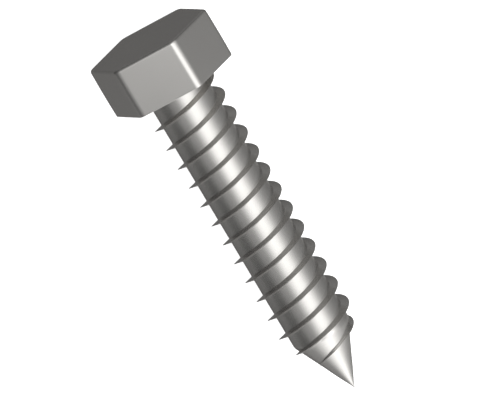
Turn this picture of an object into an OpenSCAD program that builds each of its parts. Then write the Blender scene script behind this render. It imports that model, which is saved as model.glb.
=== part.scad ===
// Hex head sheet metal screw in one piece, lying as it comes to rest on a flat surface.
// It is built upright, with its bearing face at z = 0, its head above and its point below.
// It is then laid down on one flat of the head and on the thread, with the point along +X.

/* [Head] */
// Width of the head across its flats
across_flats = 9.34; // [8.6:0.02:13]
// Height of the head above its bearing face
head_height = 4.34; // [2.6:0.02:7]
// Radius of the rounding down the six corners of the head
corner_round = 0.71; // [0.2:0.01:0.9]
// Radius of the rounding round the top face
top_round = 0.22; // [0.1:0.02:0.5]

/* [Shank] */
// Length from the bearing face to the tip
length = 28.78; // [16:0.02:60]
// Diameter of the core between the ridges of the thread
core_d = 5.02; // [4:0.02:5.6]
// Length of the conical point
point_length = 5.32; // [4.6:0.02:8]

/* [Thread] */
// Diameter over the crests
thread_d = 6.44; // [6.2:0.02:7.4]
// Distance from one crest to the next, measured along the screw
crest_spacing = 1.8; // [1.4:0.01:2.6]
// Number of ridges that wind round the core side by side
starts = 2; // [1:1:3]
// Angle between the two flanks of a ridge
flank_angle = 30; // [20:1:50]
// Angle round the screw at which a crest leaves the bearing face, counted from the uppermost flat
thread_turn = 165; // [0:1:359]
// Distance before the cone at which the crests begin to fall
fade_before = 0.15; // [0:0.05:1]
// Distance past the start of the cone at which they have sunk into it
fade_after = 2.4; // [1.5:0.05:3]

/* [Smoothness] */
// Straight steps in one turn of the thread, a multiple of 12
steps_per_turn = 48; // [24:12:60]

/* [Hidden] */
$fn = 96;

steel = [0.62, 0.61, 0.6];

sides = 6;
half_side = 180 / sides;
apothem = across_flats / 2;
corner_centre = (apothem - corner_round) / cos(half_side);
corners = [for (i = [0:sides - 1]) (2 * i + 1) * half_side];

core_r = core_d / 2;
crest_r = thread_d / 2;
cone_start = length - point_length;
fade_start = cone_start - fade_before;
thread_end = cone_start + fade_after;
lead = crest_spacing * starts;
flank_slope = tan(flank_angle / 2);
// How far the foot of a ridge lies inside the core, and its ends inside the head and the cone
foot_depth = 0.25;
end_overlap = 0.5;
step_angle = 360 / steps_per_turn;

// Radius of the core and of the crests at a depth below the bearing face
function core_at(depth) = depth < cone_start ? core_r : core_r * (length - depth) / point_length;
crest_fall = (crest_r - core_at(thread_end)) / (thread_end - fade_start);
function crest_at(depth) = crest_r - crest_fall * max(0, depth - fade_start);

// Depth below the bearing face of the crest that starts at thread_turn
function crest_depth(angle) = lead * (thread_turn - angle) / 360;

// The crests that pass the underside, and the angle at which the lowest of them meets the surface
under = 180;
first_under = crest_depth(under) % crest_spacing;
under_depths = [for (d = [first_under:crest_spacing:thread_end]) if (d > crest_spacing / 2) d];
lie_angle = atan(min([for (d = under_depths) (apothem - crest_at(d)) / d]));

// Reach of the laid screw along X, from the rounded top of the head to the tip
head_reach = (head_height - top_round) * cos(lie_angle) + (apothem - top_round) * sin(lie_angle) + top_round;
tip_reach = length * cos(lie_angle);

// A hexagon whose corners are arcs
module head_outline() {
  polygon([
    for (corner = corners, side = [-1, 1])
      let (flat = corner + side * half_side)
        corner_centre * [cos(corner), sin(corner)] + corner_round * [cos(flat), sin(flat)]
  ]);
  for (corner = corners)
    rotate(corner)
      translate([corner_centre, 0])
        circle(r = corner_round);
}

// The head seen along one pair of flats, with its two top edges rounded
module head_section() {
  translate([-apothem, 0])
    square([across_flats, head_height - top_round]);
  translate([top_round - apothem, 0])
    square([across_flats - 2 * top_round, head_height]);
  for (side = [-1, 1])
    translate([side * (apothem - top_round), head_height - top_round])
      circle(r = top_round);
}

// The head's section carried right across it, square to one pair of flats
module head_slab(angle) {
  rotate([90, 0, angle])
    linear_extrude(2 * across_flats, center = true)
      head_section();
}

// Plain hexagonal head: flat bearing face, rounded corners and rounded top edge
module head() {
  intersection() {
    linear_extrude(head_height)
      head_outline();
    head_slab(0);
    head_slab(2 * half_side);
    head_slab(4 * half_side);
  }
}

// Core of the shank and its conical point
module core() {
  translate([0, 0, -cone_start])
    cylinder(r = core_r, h = cone_start);
  translate([0, 0, -length])
    cylinder(r1 = 0, r2 = core_r, h = point_length);
}

// Corners of a ridge's sharp section at one angle: upper foot, crest and lower foot
function ridge_section(angle, depth) =
  let (
    foot = core_at(max(depth, 0)) - foot_depth,
    crest = crest_at(depth),
    half_width = (crest - foot) * flank_slope
  )
  [for (p = [[foot, half_width], [crest, 0], [foot, -half_width]])
    [p[0] * cos(angle), p[0] * sin(angle), p[1] - depth]];

// One ridge of the thread, wound right-handed from inside the head until it sinks into the cone
module ridge(turn) {
  top_angle = ceil((thread_turn + turn + 360 * end_overlap / lead) / step_angle) * step_angle;
  count = ceil((360 * (thread_end + end_overlap) / lead - thread_turn - turn + top_angle) / step_angle);
  points = [
    for (k = [0:count])
      let (angle = top_angle - k * step_angle)
        each ridge_section(angle, crest_depth(angle - turn))
  ];
  top_cap = [2, 1, 0];
  end_cap = [for (j = [0:2]) 3 * count + j];
  walls = [
    for (k = [0:count - 1], j = [0:2])
      let (a = 3 * k + j, b = 3 * k + (j + 1) % 3)
        each [[a, b, a + 3], [b, b + 3, a + 3]]
  ];
  polyhedron(points, concat([top_cap], walls, [end_cap]));
}

module thread() {
  for (i = [0:starts - 1])
    ridge(360 * i / starts);
}

// The whole screw, laid down with one flat's lower edge and the thread on z = 0
module screw() {
  color(steel)
    translate([(head_reach - tip_reach) / 2, 0, apothem * cos(lie_angle)])
      rotate([0, lie_angle - 90, 0]) {
        head();
        core();
        thread();
      }
}

screw();
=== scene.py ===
"""Hex head sheet metal screw lying on a pale floor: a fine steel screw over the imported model."""
import bpy
import bmesh
import math
from mathutils import Matrix, Vector


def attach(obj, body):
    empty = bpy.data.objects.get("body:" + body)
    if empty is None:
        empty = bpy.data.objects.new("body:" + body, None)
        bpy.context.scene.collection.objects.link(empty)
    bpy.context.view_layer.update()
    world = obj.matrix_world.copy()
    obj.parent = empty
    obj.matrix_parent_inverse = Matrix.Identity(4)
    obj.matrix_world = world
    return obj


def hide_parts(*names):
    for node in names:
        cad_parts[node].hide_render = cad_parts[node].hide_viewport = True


# Sizes of the screw in millimetres, the same named values as in the part's source
ACROSS_FLATS = 9.34
HEAD_HEIGHT = 4.34
CORNER_ROUND = 0.71
TOP_ROUND = 0.22
LENGTH = 28.78
CORE_D = 5.02
POINT_LENGTH = 5.32
THREAD_D = 6.44
CREST_SPACING = 1.8
STARTS = 2
FLANK_ANGLE = 30
THREAD_TURN = 165
FADE_BEFORE = 0.15
FADE_AFTER = 2.4

# Degrees from the middle of a flat of the head to its corner
HALF_SIDE = 30

# Fine roundings in millimetres: the crests and feet of the ridges, the head's two edges and the tip
CREST_ROUND = 0.008
FOOT_ROUND = 0.05
TOP_EDGE = 0.25
BEARING_ROUND = 0.05
TIP_ROUND = 0.06

# How far a flat of the head swells across its width and up its height, and the cone near the tip
FLAT_CROWN = 0.014
HEIGHT_CROWN = 0.022
POINT_SWELL = 0.022

# How far the last turn's crest drops below a straight fade, and the share of the fade where it does
LAST_DROP = 0.08
LAST_DROP_SPAN = (0.34, 0.66)

# Steps of the fine surfaces: in a turn of the thread, round a corner of the head, over its top edge
# and its bearing edge, up the dome of the tip, and the places across and up a flat
TURN_STEPS = 150
CORNER_STEPS = 14
EDGE_STEPS = 8
BEARING_STEPS = 3
DOME_STEPS = 5
FLAT_STEPS = (0.02, 0.1, 0.2, 0.35, 0.5, 0.65, 0.8, 0.9, 0.98)

# Where a ridge is cut: at shares of its flank, at distances past its foot up to a share of the
# groove, and in steps from there to the groove's middle. A ridge lower than the least is cut as if
# it were so high.
FLANK_CUTS = (0.05, 0.12, 0.3, 0.6, 0.85, 0.95)
FOOT_CUTS = (0.01, 0.03, 0.07)
LAST_FOOT_CUT = 0.97
GROOVE_STEPS = 3
LEAST_RIDGE = 0.02

# How far the shank reaches into the head, the rings of the plain tip from its end, the size of the
# flat middle of the head's two faces as a share of their outline, and the reach of a weld
INSIDE_HEAD = 0.4
TIP_RINGS = (0.4, 0.3, 0.2)
FACE_MIDDLE = 0.97
WELD = 1e-5

# The camera: the photograph's frame and scale, a pixel on the screw's axis and the pixels from
# there down to the bearing face, and in degrees the axis's tilt in the picture and how far the view
# leans toward the tip and is turned round the screw
FRAME_W = 500
FRAME_H = 400
PIXELS_PER_MM = 12.581
AXIS_X = 148.226
AXIS_Y = 41.647
BEARING_DOWN = 51.052
AXIS_TILT = 30.801
TOWARD_TIP = 13.276
TURNED = 11.174

# Its distance and the range it sees in metres, and its sensor's width in millimetres
CAMERA_AWAY = 1.45
CLIP = (0.1, 50)
SENSOR = 36.0

# The light: a smooth studio sky of soft panels over a dim room. Each panel has its turn in degrees
# from straight up toward +Y, its lean along +X from -1 to 1, its tightness and its strength.
ROOM = 0.041
PANELS = {
    "overhead": (15, 0.00, 16.0, 2.187),
    "overhead_wide": (40, -0.21, 3.7, 1.103),
    "over_point": (43, 0.55, 16.1, 2.118),
    "beyond_point": (25, 0.96, 8.2, 2.012),
    "beyond_point_low": (119, 0.93, 3.2, 0.518),
    "left_fill": (-31, 0.10, 23.0, 0.300),
    "glow_left": (-106, 0.44, 12.2, 0.240),
    "glow_below_left": (-141, -0.12, 13.9, 0.234),
    "glow_below": (181, 0.17, 15.9, 0.280),
    "glow_below_head": (-178, -0.72, 12.0, 0.220),
}

# The floor and the backdrop, which only the camera sees
FLOOR_REACH = 3
FLOOR_TONE = 0.9
FLOOR_GLOW = 0.8
BACKDROP = 1.0

# The steel
STEEL = (0.52, 0.510, 0.492)
EDGE_TINT = (0.85, 0.83, 0.82)
METALLIC = 0.82
ROUGHNESS = 0.24
TONE_SPREAD = 0.025
POLISH_SPREAD = 0.03

# Unevenness in the steel, in metres: the size of its soft clouds, the size of the rolling marks
# along the screw and round it, and their depth
CLOUD_SIZE = 0.003
MARK_ALONG = 0.00014
MARK_ROUND = 0.0022
MARK_DEPTH = 4e-7

MM = 0.001
APOTHEM = ACROSS_FLATS / 2
CORE_R = CORE_D / 2
CREST_R = THREAD_D / 2
CONE_START = LENGTH - POINT_LENGTH
FADE_START = CONE_START - FADE_BEFORE
THREAD_END = CONE_START + FADE_AFTER
LEAD = CREST_SPACING * STARTS
FLANK_SLOPE = math.tan(math.radians(FLANK_ANGLE / 2))
SHANK_TOP = -INSIDE_HEAD
SHANK_LOW = LENGTH - TIP_RINGS[0]


def core_at(depth):
    """Radius of the core at a depth below the bearing face."""
    if depth < CONE_START:
        return CORE_R
    return max(CORE_R * (LENGTH - depth) / POINT_LENGTH, 0.0)


def fine_core(depth):
    """The core's radius with the slight swelling of the cone past the thread."""
    share = (depth - THREAD_END) / (LENGTH - THREAD_END)
    if share <= 0:
        return core_at(depth)
    return core_at(depth) + POINT_SWELL * math.sin(math.pi * min(share, 1.0)) ** 2


CREST_FALL = (CREST_R - core_at(THREAD_END)) / (THREAD_END - FADE_START)


def crest_at(depth):
    """Radius of a crest at a depth below the bearing face."""
    return CREST_R - CREST_FALL * max(0.0, depth - FADE_START)


def fine_crest(depth):
    """The crest's radius, with the last turn sinking a little below a straight fade midway."""
    share = (depth - CONE_START) / FADE_AFTER
    low, high = LAST_DROP_SPAN
    if not low < share < high:
        return crest_at(depth)
    return crest_at(depth) - LAST_DROP * math.sin(math.pi * (share - low) / (high - low)) ** 2


def crest_depth(angle):
    """Depth at which the first ridge's crest passes an angle round the screw."""
    return LEAD * (THREAD_TURN - angle) / 360


def lie_angle():
    """Slope of the laid screw's axis, set by the lowest crest and the head's lowest flat."""
    depth = math.fmod(crest_depth(180), CREST_SPACING)
    slopes = []
    while depth <= THREAD_END:
        if depth > CREST_SPACING / 2:
            slopes.append((APOTHEM - crest_at(depth)) / depth)
        depth += CREST_SPACING
    return math.atan(min(slopes))


def laid():
    """Matrix from the upright screw in millimetres to its place on the floor in metres."""
    lie = lie_angle()
    tall, wide = HEAD_HEIGHT - TOP_ROUND, APOTHEM - TOP_ROUND
    reach = tall * math.cos(lie) + wide * math.sin(lie) + TOP_ROUND
    along = (reach - LENGTH * math.cos(lie)) / 2
    up = APOTHEM * math.cos(lie)
    place = Matrix.Translation((along, 0, up)) @ Matrix.Rotation(lie - math.pi / 2, 4, "Y")
    return Matrix.Scale(MM, 4) @ place


def smooth_max(a, b, reach):
    """The larger of two radii, with their meeting line rounded."""
    h = max(0.0, reach - abs(a - b)) / reach
    return max(a, b) + h * h * reach / 4


def thread_radius(depth, off, crest):
    """Radius of the shank at a depth, a distance off along the screw from a crest."""
    away = math.hypot(off, CREST_ROUND) - CREST_ROUND
    ridge = crest - away / FLANK_SLOPE
    return smooth_max(fine_core(depth), ridge, FOOT_ROUND)


def across_ridge(crest, core):
    """Offsets along the screw at which a ridge is cut, from one groove's middle to the next."""
    foot = max(crest - core, LEAST_RIDGE) * FLANK_SLOPE
    half = CREST_SPACING / 2
    near = [foot * k for k in FLANK_CUTS]
    far = [min(foot + k, half * LAST_FOOT_CUT) for k in FOOT_CUTS]
    rest = [far[-1] + (half - far[-1]) * k / GROOVE_STEPS for k in range(1, GROOVE_STEPS)]
    side = near + far + rest
    return [-half] + [-k for k in reversed(side)] + [0.0] + side


def shank_row(bm, angle):
    """Points along the screw at one angle, over as many ridges as there are starts."""
    a = math.radians(angle)
    row = []
    for ridge in range(STARTS):
        centre = crest_depth(angle) + CREST_SPACING * ridge
        crest = fine_crest(max(centre, 0))
        for off in across_ridge(crest, core_at(max(centre, 0))):
            depth = min(max(centre + off, SHANK_TOP), SHANK_LOW)
            radius = fine_core(max(depth, 0))
            if depth == centre + off:
                radius = thread_radius(max(depth, 0), off, crest)
            row.append(bm.verts.new((radius * math.cos(a), radius * math.sin(a), -depth)))
    return row


def shank(bm):
    """Core, conical point and both ridges of the thread as one helical surface."""
    first = math.floor((THREAD_TURN - 360 * (SHANK_LOW + LEAD) / LEAD) / 360 * TURN_STEPS)
    last = math.ceil((THREAD_TURN - 360 * (SHANK_TOP - LEAD) / LEAD) / 360 * TURN_STEPS)
    rows = {i: shank_row(bm, 360 * i / TURN_STEPS) for i in range(first, last + 1)}
    # The lower edge of a row is the upper edge of the row one turn back
    for i in range(first + TURN_STEPS, last + 1):
        rows[i].append(rows[i - TURN_STEPS][0])
    for i in range(first + TURN_STEPS, last):
        for j in range(len(rows[i]) - 1):
            bm.faces.new((rows[i][j], rows[i + 1][j], rows[i + 1][j + 1], rows[i][j + 1]))


def join(bm, loops):
    """Quads between one closed loop of points and the next."""
    for upper, lower in zip(loops, loops[1:]):
        count = len(upper)
        for i in range(count):
            k = (i + 1) % count
            bm.faces.new((upper[i], lower[i], lower[k], upper[k]))


def ring(bm, radius, depth):
    """A closed loop of points round the axis."""
    turns = [math.tau * i / TURN_STEPS for i in range(TURN_STEPS)]
    return [bm.verts.new((radius * math.cos(a), radius * math.sin(a), -depth)) for a in turns]


def tip(bm):
    """The last of the cone, ending in a tiny dome, as rings of its own."""
    slope = math.atan(CORE_R / POINT_LENGTH)
    base = LENGTH - TIP_ROUND
    loops = [ring(bm, fine_core(LENGTH - k), LENGTH - k) for k in TIP_RINGS]
    for k in range(DOME_STEPS):
        a = k * (math.pi / 2 - slope) / DOME_STEPS + slope
        loops.append(ring(bm, TIP_ROUND * math.cos(a), base + TIP_ROUND * math.sin(a)))
    join(bm, loops)
    end = bm.verts.new((0, 0, -LENGTH))
    for i in range(TURN_STEPS):
        bm.faces.new((loops[-1][i], end, loops[-1][(i + 1) % TURN_STEPS]))


def weld(bm):
    """Weld the shank to its tip and close its end inside the head."""
    bmesh.ops.remove_doubles(bm, verts=bm.verts, dist=WELD)
    bmesh.ops.dissolve_degenerate(bm, edges=bm.edges, dist=WELD)
    loose = [v for v in bm.verts if not v.link_faces]
    bmesh.ops.delete(bm, geom=loose, context="VERTS")
    bmesh.ops.holes_fill(bm, edges=[e for e in bm.edges if e.is_boundary], sides=0)


def swell(share):
    """Height of a shallow crown that rises from 0 at its edges to 1 halfway."""
    return 4 * share * (1 - share)


def outward(degrees):
    """Direction away from the axis at an angle round the screw."""
    a = math.radians(degrees)
    return Vector((math.cos(a), math.sin(a)))


def head_outline():
    """Points of the rounded hexagon, its flats barely crowned, with their outward directions."""
    centre = (APOTHEM - CORNER_ROUND) / math.cos(math.radians(HALF_SIDE))
    points = []
    for corner in range(HALF_SIDE, 360, 2 * HALF_SIDE):
        for k in range(CORNER_STEPS + 1):
            out = outward(corner - HALF_SIDE + 2 * HALF_SIDE * k / CORNER_STEPS)
            points.append((centre * outward(corner) + CORNER_ROUND * out, out))
        out = outward(corner + HALF_SIDE)
        start = centre * outward(corner) + CORNER_ROUND * out
        end = centre * outward(corner + 2 * HALF_SIDE) + CORNER_ROUND * out
        for k in FLAT_STEPS:
            points.append((start.lerp(end, k) + swell(k) * FLAT_CROWN * out, out))
    return points


def head_section():
    """The head's side from its top edge down: its inset from the outline and its height."""
    section = []
    tall = HEAD_HEIGHT - TOP_EDGE - BEARING_ROUND
    for k in range(EDGE_STEPS + 1):
        a = math.pi / 2 * (1 - k / EDGE_STEPS)
        section.append((TOP_EDGE * (1 - math.cos(a)), HEAD_HEIGHT - TOP_EDGE * (1 - math.sin(a))))
    for k in reversed(FLAT_STEPS):
        section.append((-swell(k) * HEIGHT_CROWN, BEARING_ROUND + k * tall))
    for k in range(BEARING_STEPS + 1):
        a = math.pi / 2 * k / BEARING_STEPS
        section.append((BEARING_ROUND * (1 - math.cos(a)), BEARING_ROUND * (1 - math.sin(a))))
    return section


def head_face(bm, loop, height):
    """Flat face inside the head's top or bottom edge."""
    inner = [bm.verts.new((v.co.x * FACE_MIDDLE, v.co.y * FACE_MIDDLE, height)) for v in loop]
    join(bm, (loop, inner))
    bm.faces.new(inner)


def head(bm):
    """Hexagonal head with a rolled-over top edge and a barely broken edge at the bearing face."""
    outline = head_outline()
    loops = []
    for inset, height in head_section():
        points = [(p.x - inset * out.x, p.y - inset * out.y, height) for p, out in outline]
        loops.append([bm.verts.new(point) for point in points])
    join(bm, loops)
    head_face(bm, loops[0], HEAD_HEIGHT)
    head_face(bm, loops[-1], 0.0)


def steel():
    """Bright polished steel, warm grey, with soft clouds in its tone and faint rolling marks."""
    mat = bpy.data.materials.new("steel_polished")
    mat.use_nodes = True
    nodes, links = mat.node_tree.nodes, mat.node_tree.links
    shader = nodes["Principled BSDF"]
    shader.inputs["Metallic"].default_value = METALLIC
    shader.inputs["Specular Tint"].default_value = (*EDGE_TINT, 1)
    shader.inputs["Specular IOR Level"].default_value = 0.0
    place = nodes.new("ShaderNodeTexCoord").outputs["Object"]

    def noise(size, detail):
        """Noise whose features have the given size along and across the screw."""
        turned = nodes.new("ShaderNodeMapping")
        turned.vector_type = "TEXTURE"
        turned.inputs["Rotation"].default_value = (0, lie_angle(), 0)
        turned.inputs["Scale"].default_value = size
        links.new(place, turned.inputs["Vector"])
        node = nodes.new("ShaderNodeTexNoise")
        node.inputs["Scale"].default_value = 1.0
        node.inputs["Detail"].default_value = detail
        links.new(turned.outputs["Vector"], node.inputs["Vector"])
        return node.outputs["Fac"]

    clouds = noise((CLOUD_SIZE, CLOUD_SIZE, CLOUD_SIZE), 3)
    marks = noise((MARK_ALONG, MARK_ROUND, MARK_ROUND), 2)
    tone = nodes.new("ShaderNodeMix")
    tone.data_type = "RGBA"
    tone.inputs["A"].default_value = (*[c * (1 - TONE_SPREAD) for c in STEEL], 1)
    tone.inputs["B"].default_value = (*[c * (1 + TONE_SPREAD) for c in STEEL], 1)
    links.new(clouds, tone.inputs["Factor"])
    links.new(tone.outputs["Result"], shader.inputs["Base Color"])
    polish = nodes.new("ShaderNodeMapRange")
    polish.inputs["To Min"].default_value = ROUGHNESS - POLISH_SPREAD
    polish.inputs["To Max"].default_value = ROUGHNESS + POLISH_SPREAD
    links.new(marks, polish.inputs["Value"])
    links.new(polish.outputs["Result"], shader.inputs["Roughness"])
    relief = nodes.new("ShaderNodeBump")
    relief.inputs["Strength"].default_value = 1.0
    relief.inputs["Distance"].default_value = MARK_DEPTH
    links.new(marks, relief.inputs["Height"])
    links.new(relief.outputs["Normal"], shader.inputs["Normal"])
    return mat


def screw():
    """The fine screw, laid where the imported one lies."""
    bm = bmesh.new()
    shank(bm)
    tip(bm)
    weld(bm)
    head(bm)
    bmesh.ops.recalc_face_normals(bm, faces=bm.faces)
    bm.transform(laid())
    mesh = bpy.data.meshes.new("fine_screw")
    bm.to_mesh(mesh)
    bm.free()
    for face in mesh.polygons:
        face.use_smooth = True
    piece = bpy.data.objects.new("fine_screw", mesh)
    bpy.context.collection.objects.link(piece)
    mesh.materials.append(steel())
    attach(piece, "root")
    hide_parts("screw")


def floor():
    """Plain pale floor, wide enough for every view. The screw itself is lit by the sky alone."""
    mesh = bpy.data.meshes.new("floor")
    low, high = -FLOOR_REACH, FLOOR_REACH
    corners = [(low, low, 0), (high, low, 0), (high, high, 0), (low, high, 0)]
    mesh.from_pydata(corners, [], [(0, 1, 2, 3)])
    obj = bpy.data.objects.new("floor", mesh)
    bpy.context.collection.objects.link(obj)
    mat = bpy.data.materials.new("floor_pale")
    mat.use_nodes = True
    shader = mat.node_tree.nodes["Principled BSDF"]
    shader.inputs["Base Color"].default_value = (FLOOR_TONE, FLOOR_TONE, FLOOR_TONE, 1)
    shader.inputs["Roughness"].default_value = 1.0
    shader.inputs["Specular IOR Level"].default_value = 0.0
    shader.inputs["Emission Color"].default_value = (1, 1, 1, 1)
    shader.inputs["Emission Strength"].default_value = FLOOR_GLOW
    mesh.materials.append(mat)
    obj.visible_glossy = False
    obj.visible_diffuse = False
    obj.visible_shadow = False


def sky():
    """The studio light as a smooth sky: a dim room with soft panels, and a white backdrop."""
    world = bpy.data.worlds.new("studio")
    bpy.context.scene.world = world
    world.use_nodes = True
    nodes, links = world.node_tree.nodes, world.node_tree.links
    way = nodes.new("ShaderNodeTexCoord").outputs["Generated"]

    def number(kind, value, amount=None):
        """A value changed by a plain amount or by another value."""
        node = nodes.new("ShaderNodeMath")
        node.operation = kind
        links.new(value, node.inputs[0])
        if isinstance(amount, float):
            node.inputs[1].default_value = amount
        elif amount is not None:
            links.new(amount, node.inputs[1])
        return node.outputs[0]

    total = ROOM
    for turn, along, tightness, strength in PANELS.values():
        a = math.radians(turn)
        across = math.sqrt(1 - along * along)
        dot = nodes.new("ShaderNodeVectorMath")
        dot.operation = "DOT_PRODUCT"
        links.new(way, dot.inputs[0])
        dot.inputs[1].default_value = (along, across * math.sin(a), across * math.cos(a))
        fall = number("MULTIPLY", number("SUBTRACT", dot.outputs["Value"], 1.0), tightness)
        total = number("ADD", number("MULTIPLY", number("EXPONENT", fall), strength), total)
    seen = nodes.new("ShaderNodeMix")
    seen.data_type = "FLOAT"
    links.new(nodes.new("ShaderNodeLightPath").outputs["Is Camera Ray"], seen.inputs["Factor"])
    links.new(total, seen.inputs["A"])
    seen.inputs["B"].default_value = BACKDROP
    links.new(seen.outputs["Result"], nodes["Background"].inputs["Strength"])
    nodes["Background"].inputs["Color"].default_value = (1, 1, 1, 1)


def camera():
    """The photograph's view: nearly parallel, from above, the screw's head at the upper left."""
    turn = math.radians(TURNED)
    lean = math.radians(TOWARD_TIP)
    tilt = math.radians(AXIS_TILT)
    out = Vector((math.cos(turn), math.sin(turn), 0))
    side = Vector((-math.sin(turn), math.cos(turn), 0))
    down_axis = Vector((0, 0, -math.cos(lean))) + math.sin(lean) * out
    viewer = math.cos(lean) * out + Vector((0, 0, math.sin(lean)))
    dx = FRAME_W / 2 - AXIS_X
    dy = FRAME_H / 2 - AXIS_Y
    across = (dx * math.cos(tilt) - dy * math.sin(tilt)) / PIXELS_PER_MM
    down = (dx * math.sin(tilt) + dy * math.cos(tilt) - BEARING_DOWN) / PIXELS_PER_MM
    centre = laid() @ (across * side + down * down_axis)
    way = laid().to_3x3() * (1 / MM)
    right = way @ (math.cos(tilt) * side + math.sin(tilt) * down_axis)
    up = way @ (math.sin(tilt) * side - math.cos(tilt) * down_axis)
    back = way @ viewer
    data = bpy.data.cameras.new("camera")
    data.sensor_width = SENSOR
    data.lens = SENSOR * CAMERA_AWAY / (FRAME_W / PIXELS_PER_MM * MM)
    data.clip_start, data.clip_end = CLIP
    obj = bpy.data.objects.new("camera", data)
    bpy.context.collection.objects.link(obj)
    turn_to = Matrix((right, up, back)).transposed().to_4x4()
    obj.matrix_world = Matrix.Translation(centre + CAMERA_AWAY * back) @ turn_to
    bpy.context.scene.camera = obj
    bpy.context.scene.view_settings.view_transform = "Standard"


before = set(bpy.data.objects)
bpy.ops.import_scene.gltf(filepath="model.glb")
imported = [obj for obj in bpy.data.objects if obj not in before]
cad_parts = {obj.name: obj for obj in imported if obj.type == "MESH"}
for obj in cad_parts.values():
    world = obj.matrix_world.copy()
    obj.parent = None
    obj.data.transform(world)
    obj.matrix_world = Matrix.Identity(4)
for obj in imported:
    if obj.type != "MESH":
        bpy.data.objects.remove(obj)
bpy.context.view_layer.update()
screw()
floor()
sky()
camera()
